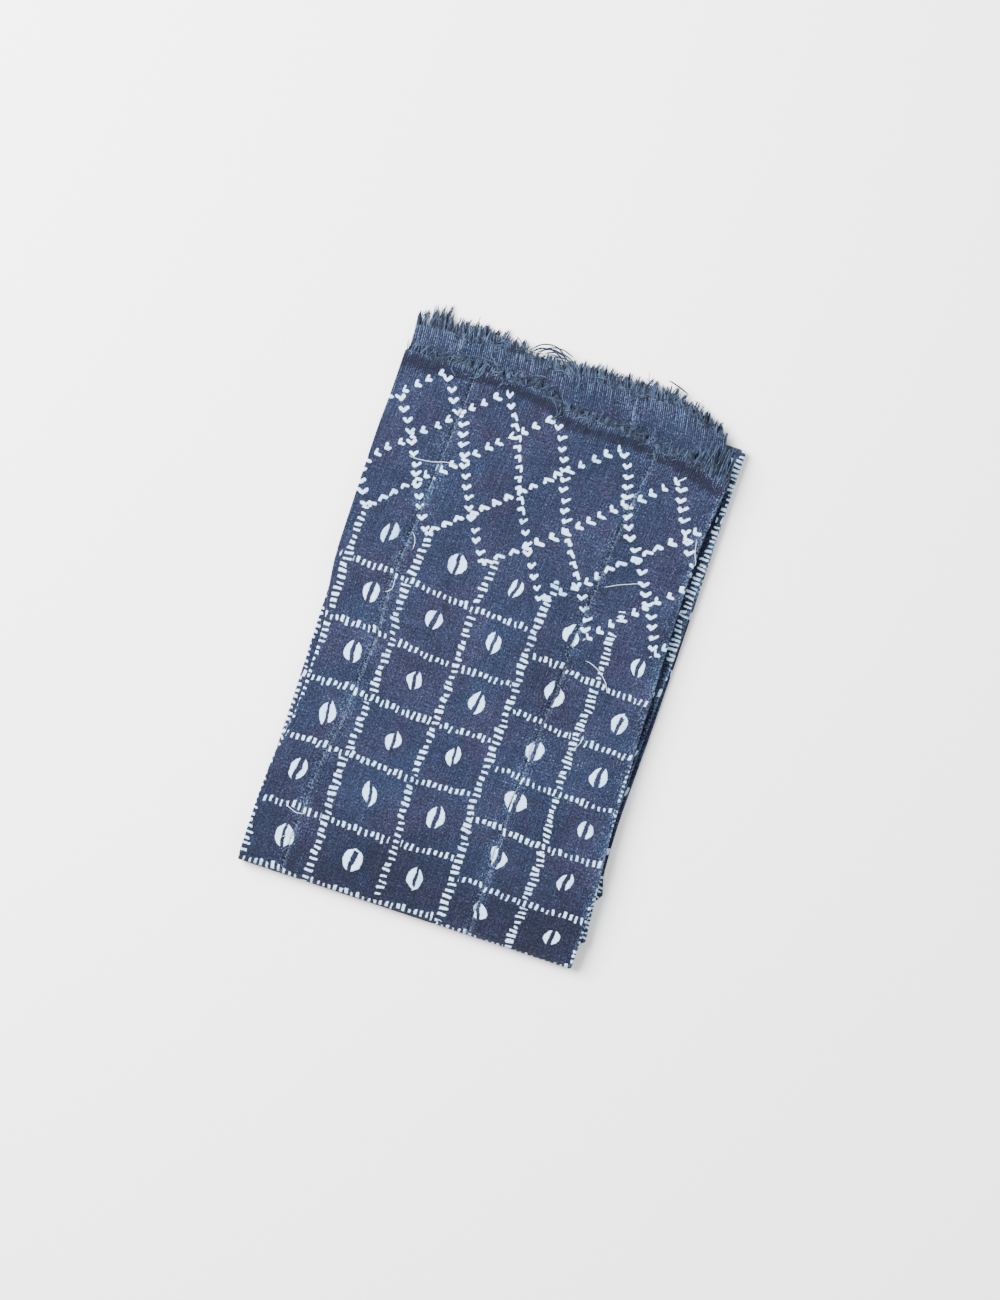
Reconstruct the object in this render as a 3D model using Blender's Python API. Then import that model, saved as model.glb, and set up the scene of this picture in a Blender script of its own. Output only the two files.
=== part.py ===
"""A folded indigo cloth, made of five narrow handwoven strips.

The strips are sewn edge to edge.  The cloth's two sides are first turned
under its middle, which leaves three layers, and the long bundle is then
folded in half twice, which leaves twelve.  Both raw ends, with their
fringes, come to lie at the far end.

A point of the flat cloth is (along, across, proud): along from the upper raw
end to the lower one, across from the second seam, and proud of the middle of
the weave.  X runs across the folded cloth, Y along it and Z up from what it
lies on.
"""

from math import cos, pi, sin

import bmesh
import bpy

MM = 0.001

# The weave and its layers
THICK = 1.0 * MM
LAYER = 1.3 * MM
BUNDLE = 3 * LAYER
SEAM_GAP = 0.3 * MM

# Across the flat cloth: its two sides and its four seams
LEFT_SIDE = -271.0 * MM
FIRST_SEAM = -137.0 * MM
SECOND_SEAM = 0.0
THIRD_SEAM = 137.0 * MM
FOURTH_SEAM = 276.0 * MM
RIGHT_SIDE = 413.0 * MM

# The folded bundle: its width, and the radii of its two side folds
WIDTH = 245.0 * MM
LEFT_RADIUS = 0.5 * LAYER
RIGHT_RADIUS = LAYER
LEFT_FOLD = LEFT_RADIUS + 0.5 * THICK
RIGHT_FOLD = WIDTH - RIGHT_RADIUS - 0.5 * THICK

# The three folds along the bundle, and the middle height of its four levels
LEVELS = [0.5 * THICK + LAYER + BUNDLE * k for k in range(4)]
SMALL_RADIUS = 0.5 * BUNDLE
GREAT_RADIUS = 1.5 * BUNDLE
NEAR_FOLD = GREAT_RADIUS + LAYER + 0.5 * THICK
INNER_FOLD = 19.6 * MM + SMALL_RADIUS + LAYER + 0.5 * THICK
FAR_FOLD = 382.2 * MM - SMALL_RADIUS - LAYER - 0.5 * THICK
UPPER_END = 372.0 * MM
LOWER_END = 388.0 * MM

# Where the second seam lies across the folded bundle: (Y, offset), level by
# level, because the side folds don't run quite along the weave
SEAM_PLACE = {
    "top": [(0, 31.5), (100, 33), (206, 42), (270, 47.5), (357, 52), (400, 53)],
    "bottom": [(0, 31.5), (200, 36), (400, 40)],
    "third": [(0, 36), (200, 38), (400, 40)],
    "second": [(0, 36), (200, 38), (382, 42), (420, 43)],
}

# The bundle's side edges, level by level: (Y, left, right)
SIDES = {
    "top": [
        (0, -2.1, 244.3),
        (35, -2.1, 244.7),
        (70, -0.7, 244.0),
        (95, 2.1, 242.2),
        (112, 4.9, 241.5),
        (154, 5.6, 240.5),
        (178, 4.9, 240.1),
        (200, 0.7, 240.1),
        (231, -2.1, 239.4),
        (280, -1.8, 239.1),
        (315, -1.4, 240.5),
        (350, 0.0, 244.3),
        (400, 0.7, 245.0),
    ],
    "bottom": [
        (0, -2.1, 244.3),
        (28, -0.7, 244.3),
        (49, 0.0, 245.7),
        (53, 0.0, 250.2),
        (70, 0.0, 245.4),
        (105, 0.7, 242.2),
        (140, 0.7, 243.6),
        (182, 0.4, 245.7),
        (280, 0.7, 248.5),
        (350, 2.1, 249.9),
        (382, 2.8, 250.2),
    ],
    "third": [
        (19, 2.8, 248.5),
        (35, 2.1, 247.1),
        (63, 0.7, 245.0),
        (84, 0.0, 242.2),
        (140, 0.0, 242.9),
        (210, 0.0, 246.1),
        (280, 0.7, 248.2),
        (350, 2.1, 249.6),
        (382, 2.8, 250.2),
    ],
    "second": [
        (19, 2.8, 248.5),
        (56, 2.1, 245.0),
        (105, 0.7, 241.5),
        (182, 0.0, 239.4),
        (245, 1.4, 238.0),
        (364, 2.8, 236.6),
        (392, 2.1, 233.1),
        (403, 1.4, 231.0),
        (420, 1.4, 231.0),
    ],
}

# The two raw ends, read across the folded bundle: (X, Y)
UPPER_EDGE = [(0, 376), (90, 379), (128, 370), (168, 368), (210, 363), (245, 356)]
LOWER_EDGE = [(0, 391), (40, 394), (120, 391), (190, 392), (222, 390), (245, 388)]
FLAP_SHORT = 3.0 * MM
FLAP_RAMP = 45.0 * MM

# Rows along each level, from the fold or end where the level begins
TOP_ROWS = [345, 300, 235, 190, 155, 110, 70, 35]
BOTTOM_ROWS = [28, 49, 53, 72, 140, 210, 290]
THIRD_ROWS = [300, 210, 140, 84, 50]
SECOND_ROWS = [105, 182, 280, 383]
GREAT_STEPS = 8
SMALL_STEPS = 5

# The far end hangs over the far fold, and the whole cloth is a little uneven
OVERHANG_FROM = 383.0 * MM
OVERHANG_DROP = 6.0 * MM
OVERHANG_LENGTH = 32.0 * MM
SKEW = 2.0 * MM
UNEVEN = 0.035

# Fringes: raw warp ends, bound along their roots
ROOT_GAP = 0.4 * MM
ROOT_DEPTH = 2.4 * MM
LOCK_PITCH = 9.6 * MM
LOCK_SHARE = 0.55

# The middle of the folded cloth
CENTRE_X = 124.005 * MM
CENTRE_Y = 205.838 * MM

INDIGO = (0.032, 0.048, 0.138)
FADED_INDIGO = (0.042, 0.085, 0.190)
WARP_BLUE = (0.060, 0.125, 0.270)

# The strips in order across the cloth: name, left edge, right edge, colour
STRIPS = [
    ("strip_left_flap", LEFT_SIDE, FIRST_SEAM, INDIGO),
    ("strip_left_fold", FIRST_SEAM, SECOND_SEAM, INDIGO),
    ("strip_middle", SECOND_SEAM, THIRD_SEAM, INDIGO),
    ("strip_right_fold", THIRD_SEAM, FOURTH_SEAM, FADED_INDIGO),
    ("strip_right_flap", FOURTH_SEAM, RIGHT_SIDE, INDIGO),
]

# The two fringes: name, whether it is at the upper raw end, lengths of a lock
FRINGES = [
    ("fringe_upper", True, (5.0 * MM, 6.0 * MM)),
    ("fringe_lower", False, (6.5 * MM, 8.0 * MM)),
]


def between(table, x, column=1):
    """The value of a table's column at x, straight from row to row."""
    if x <= table[0][0]:
        return table[0][column]
    for low, high in zip(table, table[1:]):
        if x <= high[0]:
            share = (x - low[0]) / (high[0] - low[0])
            return low[column] + share * (high[column] - low[column])
    return table[-1][column]


def bundle_path():
    """The stretches that the bundle's middle runs through, in order."""
    bottom, third, second, top = LEVELS
    stretches = [
        ("flat", "top", UPPER_END, NEAR_FOLD, top),
        ("fold", "top", NEAR_FOLD, GREAT_RADIUS, 0.5 * (top + bottom)),
        ("flat", "bottom", NEAR_FOLD, FAR_FOLD, bottom),
        ("fold", "bottom", FAR_FOLD, SMALL_RADIUS, 0.5 * (bottom + third)),
        ("flat", "third", FAR_FOLD, INNER_FOLD, third),
        ("fold", "third", INNER_FOLD, SMALL_RADIUS, 0.5 * (third + second)),
        ("flat", "second", INNER_FOLD, LOWER_END, second),
    ]
    start = 0.0
    path = []
    for stretch in stretches:
        if stretch[0] == "flat":
            length = abs(stretch[3] - stretch[2])
        else:
            length = pi * stretch[3]
        path.append((start, start + length, stretch))
        start += length
    return path


PATH = bundle_path()
TOTAL = PATH[-1][1]


def on_path(along):
    """The level, Y, height and upward facing of the bundle's middle."""
    for first, last, stretch in PATH:
        if along <= last or stretch is PATH[-1][2]:
            break
    gone = along - first
    if stretch[0] == "flat":
        kind, level, begin, end, height = stretch
        way = 1.0 if end > begin else -1.0
        facing = 1.0 if level in ("top", "third") else -1.0
        return level, begin + way * gone, height, 0.0, facing
    kind, level, y, radius, height = stretch
    turn = gone / radius
    if level == "top":
        return level, y - radius * sin(turn), height + radius * cos(turn), -sin(turn), cos(turn)
    if level == "bottom":
        return level, y + radius * sin(turn), height - radius * cos(turn), sin(turn), -cos(turn)
    return level, y - radius * sin(turn), height - radius * cos(turn), sin(turn), cos(turn)


def in_bundle(place, proud):
    """Where a point lies across the folded bundle, and how high in it."""
    past_left = LEFT_FOLD - place
    past_right = place - RIGHT_FOLD
    if past_left > 0:
        if past_left < pi * LEFT_RADIUS:
            turn = past_left / LEFT_RADIUS
            reach = LEFT_RADIUS + proud
            return LEFT_FOLD - reach * sin(turn), LAYER - LEFT_RADIUS + reach * cos(turn)
        return LEFT_FOLD + past_left - pi * LEFT_RADIUS, LAYER - 2 * LEFT_RADIUS - proud
    if past_right > 0:
        if past_right < pi * RIGHT_RADIUS:
            turn = past_right / RIGHT_RADIUS
            reach = RIGHT_RADIUS + proud
            return RIGHT_FOLD + reach * sin(turn), LAYER - RIGHT_RADIUS + reach * cos(turn)
        return RIGHT_FOLD - past_right + pi * RIGHT_RADIUS, LAYER - 2 * RIGHT_RADIUS - proud
    return place, LAYER + proud


def seam_place(along):
    level, y, height, out, up = on_path(along)
    return between(SEAM_PLACE[level], y / MM) * MM


def folded(along, across, proud):
    """Where a point of the flat cloth comes to lie."""
    level, y, height, out, up = on_path(along)
    x, rise = in_bundle(seam_place(along) + across, proud)
    left = between(SIDES[level], y / MM, 1) * MM
    right = between(SIDES[level], y / MM, 2) * MM
    x = left + x * (right - left) / WIDTH
    y += out * rise
    z = height + up * rise
    z *= 1 + UNEVEN * (sin(11 * x + 0.6) * cos(9 * y - 0.5) - 0.5 * sin(17 * y + 5 * x))
    z -= OVERHANG_DROP * max(0.0, (y - OVERHANG_FROM) / OVERHANG_LENGTH) ** 1.5
    y -= SKEW * x / WIDTH * max(0.0, 1 - y / (200 * MM))
    return x - CENTRE_X, y - CENTRE_Y, z


def raw_end(upper, across):
    """Where the weave begins or ends, along the cloth, at one raw end."""
    place = seam_place(0.0 if upper else TOTAL) + across
    x, rise = in_bundle(place, 0.0)
    turned = max(0.0, LEFT_FOLD - place, place - RIGHT_FOLD)
    short = FLAP_SHORT * min(1.0, turned / FLAP_RAMP)
    if upper:
        return UPPER_END - between(UPPER_EDGE, x / MM) * MM + short
    return TOTAL + between(LOWER_EDGE, x / MM) * MM - LOWER_END - short


def raw_end_table(upper):
    """A raw end's line, straight between the columns of the strips."""
    end = 0.0 if upper else TOTAL
    table = []
    for name, first, last, colour in STRIPS:
        table += [(across, raw_end(upper, across)) for across in columns_of(end, first, last)]
    return table


def row_places():
    """The rows of every strip along the cloth; the raw ends come last."""
    rows = [UPPER_END - y * MM for y in TOP_ROWS]
    begin = {stretch[1]: first for first, last, stretch in PATH if stretch[0] == "flat"}
    for first, last, stretch in PATH:
        if stretch[0] == "fold":
            steps = GREAT_STEPS if stretch[1] == "top" else SMALL_STEPS
            rows += [first + (last - first) * k / steps for k in range(steps + 1)]
    rows += [begin["bottom"] + y * MM - NEAR_FOLD for y in BOTTOM_ROWS]
    rows += [begin["third"] + FAR_FOLD - y * MM for y in THIRD_ROWS]
    rows += [begin["second"] + y * MM - INNER_FOLD for y in SECOND_ROWS]
    return sorted(rows)


def spaced(first, last, steps):
    return [first + (last - first) * k / steps for k in range(steps + 1)]


def columns_of(along, first, last):
    """The columns of a strip at one place along it; most follow its side fold."""
    first += 0.5 * SEAM_GAP
    last -= 0.5 * SEAM_GAP
    seam = seam_place(along)
    turned = LEFT_FOLD - seam
    if first < turned < last:
        begun = turned - pi * LEFT_RADIUS
        return spaced(first, begun, 2) + spaced(begun, turned, 4)[1:] + spaced(turned, last, 2)[1:]
    turned = RIGHT_FOLD - seam
    if first < turned < last:
        begun = turned + pi * RIGHT_RADIUS
        return spaced(first, turned, 2) + spaced(turned, begun, 5)[1:] + spaced(begun, last, 2)[1:]
    return spaced(first, last, 3)


def read_at(values, place):
    """A list's value at a place between two of its entries."""
    low = min(int(place), len(values) - 2)
    return values[low] + (place - low) * (values[low + 1] - values[low])


def flat_slab(columns, rows):
    """A closed flat sheet, its corners numbered by column, row and side."""
    bm = bmesh.new()
    bmesh.ops.create_grid(bm, x_segments=columns, y_segments=rows, size=0.5)
    for v in bm.verts:
        v.co.x = round((v.co.x + 0.5) * columns)
        v.co.y = round((v.co.y + 0.5) * rows)
        v.co.z = 0.5
    bmesh.ops.solidify(bm, geom=bm.faces[:], thickness=1.0)
    low = min(v.co.z for v in bm.verts)
    for v in bm.verts:
        v.co.z = 0.5 if v.co.z - low > 0.5 else -0.5
        v.co.x = round(v.co.x)
        v.co.y = round(v.co.y)
    bmesh.ops.recalc_face_normals(bm, faces=bm.faces[:])
    return bm


def finish_piece(bm, name, material, collection):
    if bm.calc_volume(signed=True) < 0:
        bmesh.ops.reverse_faces(bm, faces=bm.faces[:])
    mesh = bpy.data.meshes.new(name)
    bm.to_mesh(mesh)
    bm.free()
    mesh.materials.append(material)
    piece = bpy.data.objects.new(name, mesh)
    collection.objects.link(piece)
    return piece


def add_strip(name, first, last, edges, material, collection):
    """One woven strip, folded with the rest of the cloth."""
    rows = row_places()
    bm = flat_slab(len(columns_of(0.0, first, last)) - 1, len(rows) + 1)
    for v in bm.verts:
        row = round(v.co.y)
        if row == 0:
            across = columns_of(0.0, first, last)[round(v.co.x)]
            along = between(edges[True], across)
        elif row > len(rows):
            across = columns_of(TOTAL, first, last)[round(v.co.x)]
            along = between(edges[False], across)
        else:
            along = rows[row - 1]
            across = columns_of(along, first, last)[round(v.co.x)]
        v.co = folded(along, across, v.co.z * THICK)
    return finish_piece(bm, name, material, collection)


def fringe_columns(seam):
    """The columns along a raw end, and the first column of each lock."""
    left = LEFT_FOLD - seam
    right = RIGHT_FOLD - seam
    stretches = [
        (LEFT_SIDE, left - pi * LEFT_RADIUS, 0),
        (left - pi * LEFT_RADIUS, left, 4),
        (left, right, 0),
        (right, right + pi * RIGHT_RADIUS, 5),
        (right + pi * RIGHT_RADIUS, RIGHT_SIDE, 0),
    ]
    columns = [LEFT_SIDE]
    locks = []
    for first, last, steps in stretches:
        if steps:
            columns += spaced(first, last, steps)[1:]
            continue
        count = round((last - first) / LOCK_PITCH)
        pitch = (last - first) / count
        for k in range(count):
            columns.append(first + (k + 0.5 - 0.5 * LOCK_SHARE) * pitch)
            locks.append(len(columns) - 1)
            columns.append(first + (k + 0.5 + 0.5 * LOCK_SHARE) * pitch)
        columns.append(last)
    return columns, locks


def add_fringe(name, upper, lengths, edges, material, collection):
    """A raw end's warp locks, fused at their roots into one narrow band."""
    end = 0.0 if upper else TOTAL
    columns, locks = fringe_columns(seam_place(end))
    bm = flat_slab(len(columns) - 1, 1)
    rim = [f for f in bm.faces if f.calc_center_median().y > 0.99]
    tips = [f for f in rim if int(f.calc_center_median().x) in locks]
    for step, narrow in enumerate((0.72, 0.45)):
        tips = bmesh.ops.extrude_discrete_faces(bm, faces=tips)["faces"]
        for f in tips:
            middle = f.calc_center_median()
            number = int(middle.x)
            sway = 0.16 * sin(number * 2.7 + 1.3 * step)
            for v in f.verts:
                v.co.x = number + 0.5 + sway + (v.co.x - number - 0.5) * narrow
                v.co.y = step + 2
                v.co.z *= 0.8
    for v in bm.verts:
        number = v.co.x
        across = read_at(columns, number)
        reach = ROOT_GAP + ROOT_DEPTH * min(v.co.y, 1.0)
        uneven = 0.8 + 0.3 * sin(1.7 * int(number)) + 0.12 * sin(4.1 * int(number))
        if v.co.y > 1.5:
            reach += lengths[0] * uneven
        if v.co.y > 2.5:
            reach += lengths[1] * uneven
        along = between(edges[upper], across) + (-reach if upper else reach)
        v.co = folded(along, across, v.co.z * THICK)
    return finish_piece(bm, name, material, collection)


def cloth_material(name, colour, roughness):
    material = bpy.data.materials.new(name)
    material.use_nodes = True
    shader = material.node_tree.nodes["Principled BSDF"]
    shader.inputs["Base Color"].default_value = (*colour, 1.0)
    shader.inputs["Roughness"].default_value = roughness
    shader.inputs["Metallic"].default_value = 0.0
    material.diffuse_color = (*colour, 1.0)
    return material


def main():
    for old in list(bpy.data.objects):
        bpy.data.objects.remove(old, do_unlink=True)
    collection = bpy.data.collections.new("indigo_cloth")
    bpy.context.scene.collection.children.link(collection)

    edges = {upper: raw_end_table(upper) for upper in (True, False)}
    for name, first, last, colour in STRIPS:
        material = cloth_material(name, colour, 0.95)
        add_strip(name, first, last, edges, material, collection)
    for name, upper, lengths in FRINGES:
        material = cloth_material(name, WARP_BLUE, 0.9)
        add_fringe(name, upper, lengths, edges, material, collection)


main()
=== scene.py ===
"""Looks of a folded indigo cloth: five handwoven strips, their seams and fringes.

The strips are woven flat, sewn and folded here the way the solids are: a
point of the flat cloth is (along, across, proud), along from the upper raw
end to the lower one, across from the second seam, and proud of the middle of
the weave.  The stitched resist is worked out on the flat cloth, so it runs
on round every fold.
"""

from math import pi, radians
from random import Random

import bmesh
import bpy
import numpy as np
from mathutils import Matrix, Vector


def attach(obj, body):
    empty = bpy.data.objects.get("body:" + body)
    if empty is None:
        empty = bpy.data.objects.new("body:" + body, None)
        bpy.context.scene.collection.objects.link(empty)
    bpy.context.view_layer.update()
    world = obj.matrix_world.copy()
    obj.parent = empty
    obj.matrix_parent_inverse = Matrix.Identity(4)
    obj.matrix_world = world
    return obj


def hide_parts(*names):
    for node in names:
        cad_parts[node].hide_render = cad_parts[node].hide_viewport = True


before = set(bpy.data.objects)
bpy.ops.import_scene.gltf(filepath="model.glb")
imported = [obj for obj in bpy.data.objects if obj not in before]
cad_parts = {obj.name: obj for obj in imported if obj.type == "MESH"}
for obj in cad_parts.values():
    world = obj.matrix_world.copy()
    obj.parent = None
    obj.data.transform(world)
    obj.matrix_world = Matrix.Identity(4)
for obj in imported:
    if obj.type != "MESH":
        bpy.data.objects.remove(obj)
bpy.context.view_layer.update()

MM = 0.001

# The weave and its layers
THICK = 0.85 * MM
SOLID_THICK = 1.0 * MM
LAYER = 1.3 * MM
BUNDLE = 3 * LAYER
SEAM_GAP = 0.04 * MM

# Across the flat cloth: its two sides and its four seams
LEFT_SIDE = -271.0 * MM
FIRST_SEAM = -137.0 * MM
SECOND_SEAM = 0.0
THIRD_SEAM = 137.0 * MM
FOURTH_SEAM = 276.0 * MM
RIGHT_SIDE = 413.0 * MM
SEAMS = (FIRST_SEAM, SECOND_SEAM, THIRD_SEAM, FOURTH_SEAM)

# The folded bundle: its width, and the radii of its two side folds
WIDTH = 245.0 * MM
LEFT_RADIUS = 0.5 * LAYER
RIGHT_RADIUS = LAYER
LEFT_FOLD = LEFT_RADIUS + 0.5 * SOLID_THICK
RIGHT_FOLD = WIDTH - RIGHT_RADIUS - 0.5 * SOLID_THICK

# The three folds along the bundle, and the middle height of its four levels
BOTTOM, THIRD, SECOND, TOP = (0.5 * SOLID_THICK + LAYER + BUNDLE * k for k in range(4))
SMALL_RADIUS = 0.5 * BUNDLE
GREAT_RADIUS = 1.5 * BUNDLE
INNER_EDGE = 19.6 * MM
FAR_EDGE = 382.2 * MM
NEAR_FOLD = GREAT_RADIUS + LAYER + 0.5 * SOLID_THICK
INNER_FOLD = INNER_EDGE + SMALL_RADIUS + LAYER + 0.5 * SOLID_THICK
FAR_FOLD = FAR_EDGE - SMALL_RADIUS - LAYER - 0.5 * SOLID_THICK
UPPER_END = 372.0 * MM
LOWER_END = 388.0 * MM

# The stretches of the bundle in order: kind, level, where it begins along Y,
# where a flat one ends or how far a fold reaches round, and its height
STRETCHES = [
    ("flat", "top", UPPER_END, NEAR_FOLD, TOP),
    ("fold", "top", NEAR_FOLD, GREAT_RADIUS, 0.5 * (TOP + BOTTOM)),
    ("flat", "bottom", NEAR_FOLD, FAR_FOLD, BOTTOM),
    ("fold", "bottom", FAR_FOLD, SMALL_RADIUS, 0.5 * (BOTTOM + THIRD)),
    ("flat", "third", FAR_FOLD, INNER_FOLD, THIRD),
    ("fold", "third", INNER_FOLD, SMALL_RADIUS, 0.5 * (THIRD + SECOND)),
    ("flat", "second", INNER_FOLD, LOWER_END, SECOND),
]

# Where the second seam lies across the folded bundle, level by level: (Y, offset)
SEAM_PLACE = {
    "top": [(0, 31.5), (100, 33), (206, 42), (270, 47.5), (357, 52), (400, 53)],
    "bottom": [(0, 31.5), (200, 36), (400, 40)],
    "third": [(0, 36), (200, 38), (400, 40)],
    "second": [(0, 36), (200, 38), (382, 42), (420, 43)],
}

# The bundle's side edges, level by level: (Y, left, right)
SIDES = {
    "top": [
        (0, -2.1, 244.3),
        (35, -2.1, 244.7),
        (70, -0.7, 244.0),
        (95, 2.1, 242.2),
        (112, 4.9, 241.5),
        (154, 5.6, 240.5),
        (178, 4.9, 240.1),
        (200, 0.7, 240.1),
        (231, -2.1, 239.4),
        (280, -1.8, 239.1),
        (315, -1.4, 240.5),
        (350, 0.0, 244.3),
        (400, 0.7, 245.0),
    ],
    "bottom": [
        (0, -2.1, 244.3),
        (28, -0.7, 244.3),
        (49, 0.0, 245.7),
        (53, 0.0, 250.2),
        (70, 0.0, 246.2),
        (105, 0.7, 245.2),
        (140, 0.7, 246.2),
        (182, 0.4, 247.6),
        (280, 0.7, 249.3),
        (350, 2.1, 249.9),
        (382, 2.8, 250.2),
    ],
    "third": [
        (19, 2.8, 248.5),
        (35, 2.1, 247.1),
        (63, 0.7, 245.0),
        (84, 0.0, 242.2),
        (140, 0.0, 242.9),
        (210, 0.0, 246.1),
        (280, 0.7, 248.2),
        (350, 2.1, 249.6),
        (382, 2.8, 250.2),
    ],
    "second": [
        (19, 2.8, 248.5),
        (56, 2.1, 245.0),
        (105, 0.7, 241.5),
        (182, 0.0, 239.4),
        (245, 1.4, 238.0),
        (364, 2.8, 236.6),
        (392, 2.1, 233.1),
        (403, 1.4, 231.0),
        (420, 1.4, 231.0),
    ],
}

# The two raw ends, read across the folded bundle: (X, Y)
UPPER_EDGE = [(0, 376), (90, 379), (128, 370), (168, 368), (210, 363), (245, 356)]
LOWER_EDGE = [
    (0, 395),
    (25, 399),
    (60, 401),
    (120, 399),
    (190, 400),
    (215, 398),
    (228, 391),
    (245, 386),
]
RAGGED = 0.35 * MM

# How far the loose warp ends reach at each raw end: (X, Y)
UPPER_TIPS = [
    (-4, 386),
    (8, 387),
    (20, 384),
    (60, 387),
    (100, 387),
    (112, 377),
    (130, 375),
    (168, 374),
    (200, 370),
    (212, 375),
    (222, 384),
    (238, 387),
    (248, 374),
]
LOWER_TIPS = [
    (-2, 407),
    (10, 411),
    (15, 416),
    (21, 418),
    (26, 411),
    (34, 412),
    (60, 413),
    (70, 409),
    (78, 411),
    (83, 404),
    (92, 405),
    (112, 405),
    (122, 410),
    (160, 411),
    (188, 411),
    (200, 407),
    (215, 408),
    (222, 406),
    (228, 399),
    (234, 391),
    (248, 389),
]

# The turned flaps end a little short of the panel: by how much, and how soon
FLAP_SHORT = 3.0 * MM
FLAP_RAMP = 45.0 * MM

# The far end hangs over the far fold, the near fold is pressed lower and runs
# a little askew, and the whole pile is a little uneven
OVERHANG_FROM = 383.0 * MM
OVERHANG_DROP = 6.0 * MM
OVERHANG_LENGTH = 32.0 * MM
SKEW = 2.0 * MM
SKEW_REACH = 200.0 * MM
NEAR_SLOPE = 0.16
NEAR_REACH = 50.0 * MM
UNEVEN = 0.035
PILE = 15.0 * MM
LOWEST = 0.44 * MM

# The middle of the bundle's outline, which comes to lie at the origin
CENTRE = (124.005 * MM, 205.838 * MM)

# Soft waves of the piled layers: wave numbers along X and Y, start, height
WAVES = [
    (95, 40, 0.3, 0.16),
    (-60, 110, 1.9, 0.14),
    (180, 70, 4.0, 0.08),
    (150, -190, 2.2, 0.07),
    (30, 260, 5.1, 0.06),
    (310, 120, 0.9, 0.04),
]

# Rows of the woven sheets: their spacing on the top panel and on the hidden
# levels, how many go round a fold, and how many share the second level's plain
# stretch and its end that shows
FINE_ROW = 2.4 * MM
PLAIN_ROW = 6.0 * MM
GREAT_STEPS = 16
SMALL_STEPS = 10
PLAIN_STEPS = 54
PLAIN_SHARE = 0.88
END_STEPS = 20
END_SHARE = 0.12

# Columns of the woven sheets: their spacing, and on a strip with a side fold
# how many lie before it, in it, and on the strip's two flat sides together
COLUMN = 2.7 * MM
BEFORE_LEFT_FOLD = 36
BEFORE_RIGHT_FOLD = 22
ROUND_FOLD = 10
FLAT_COLUMNS = 51

# The seams draw the strips' edges in and pucker the weave beside them
PUCKER = 0.1 * MM
DRAWN_IN = 1.5 * MM
PUCKER_FROM = 4 * MM
PUCKER_WIDTH = 3 * MM

# The right side fold is worn along its crest, a little past where it begins
CREST_PAST = 0.9 * MM
CREST_LESS = 0.3 * MM

# The stitched resist on the flat cloth, in millimetres: where its upright
# lines run across the cloth, and its rows along it, left and right of the
# line that the maker began again from
LINES = [-271, -223, -175, -127, -79, -31.5, 17, 68, 114, 168.5, 215.5, 263, 309, 355, 403, 451]
LEFT_ROWS = [66, 109, 152, 194, 236, 277.5, 323, 366.4]
RIGHT_ROWS = [89, 128, 169.5, 211.5, 253.5, 293, 336, 371]
ROW_PITCH = 43.4
CELL = (48.0, 43.4)

# The numbers of three lines: the one that the maker began again from, the last
# one on the top panel, and the one round the right side fold.  The rows right
# of the first of them are numbered on from a higher number, and the topmost
# two are left plain
BEGUN_AGAIN = float(LINES.index(114))
LAST_ON_PANEL = float(LINES.index(168.5))
ROUND_THE_FOLD = float(LINES.index(215.5))
RIGHT_NUMBERS = 20.0
LEFT_PLAIN = RIGHT_NUMBERS + 1.5

# How far the lines lean across the cloth, all along it: (along, sideways)
LEAN = [
    (0, -6.5),
    (130, -6),
    (366, 0),
    (420, 1),
    (470, 5),
    (610, 3),
    (740, -12),
    (768, -13.2),
    (793, -10.4),
    (813, -11.7),
    (860, -12.4),
    (905, -11),
    (928, -5.2),
    (1020, -3.6),
    (1500, -8),
]

# How the rows slope, all along the cloth: (along, rise for each millimetre
# across), about a middle line, and how far each strip was sewn on out of step
SLOPE = [
    (0, -0.075),
    (170, -0.06),
    (240, -0.02),
    (300, 0.0),
    (366, 0.03),
    (420, 0.0),
    (1500, 0.02),
]
SLOPE_MIDDLE = 70
OUT_OF_STEP = (0.0, 0.0, 1.5, 3.0, -1.5)

# The net of crossing lines along each raw end: where its lines cross the net's
# middle, and how far they run sideways for each millimetre along the cloth
NET_MIDDLE = 71.0
FALLING = [-298, -250, -202, -154, -106, -58, -17.5, 22.5, 64.5, 98.5, 147.5, 189.5]
FALLING += range(231, 424, 48)
RISING = [-335, -287, -239, -172, -138, -95, -42.5, 1, 56, 111, 171, 225, 273, 321, 369, 417, 465]
FALLING_SLANT = 0.60
RISING_SLANT = -1.05

# How far from the raw end the ladders begin, and the shells: (across, along).
# At the lower raw end all of it lies a little nearer to the end
LADDER_FOOT = 116.0
SHELL_FOOT = [(-300, 99), (113, 99), (116, 125), (500, 125)]
FOOT_MARGIN = 22.0

# The rungs of an upright ladder and of a row: pitch, half length, half width.
# Past the line begun again the ladders' rungs are closer and thinner, and
# round the side fold they are longer
LADDER_RUNG = (4.3, 2.4, 1.0)
ROW_RUNG = (4.15, 2.2, 0.88)
CLOSER = -0.8
THINNER = -0.14
LONGER = 0.6

# Where a ladder and a row cross, one runs on and the other stops short of its
# line: how short the ladder stops, and how short the row
LADDER_GAP = 3.6
ROW_GAP = 4.0

# A shell's half width and half height, and where it sits above its cell's middle
SHELL_HALF = (5.0, 6.9)
SHELL_RISE = 1.5
SLIT_HALF = 1.05

# The net's folded marks: the spacing of its lines, the marks' pitch and the
# way that they face, in degrees; then the length and half width of an arm, and
# how far an arm runs sideways and ahead.  The cloth's upper left corner has no
# marks, left of a place across it and nearer to the raw end than another
FALLING_MARKS = (42.0, 6.8, 103)
RISING_MARKS = (52.0, 6.3, 48)
ARM = 2.7
ARM_HALF = 1.08
ARM_WAY = (0.74, 0.67)
PLAIN_CORNER = (-44.0, 27.0)

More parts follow.
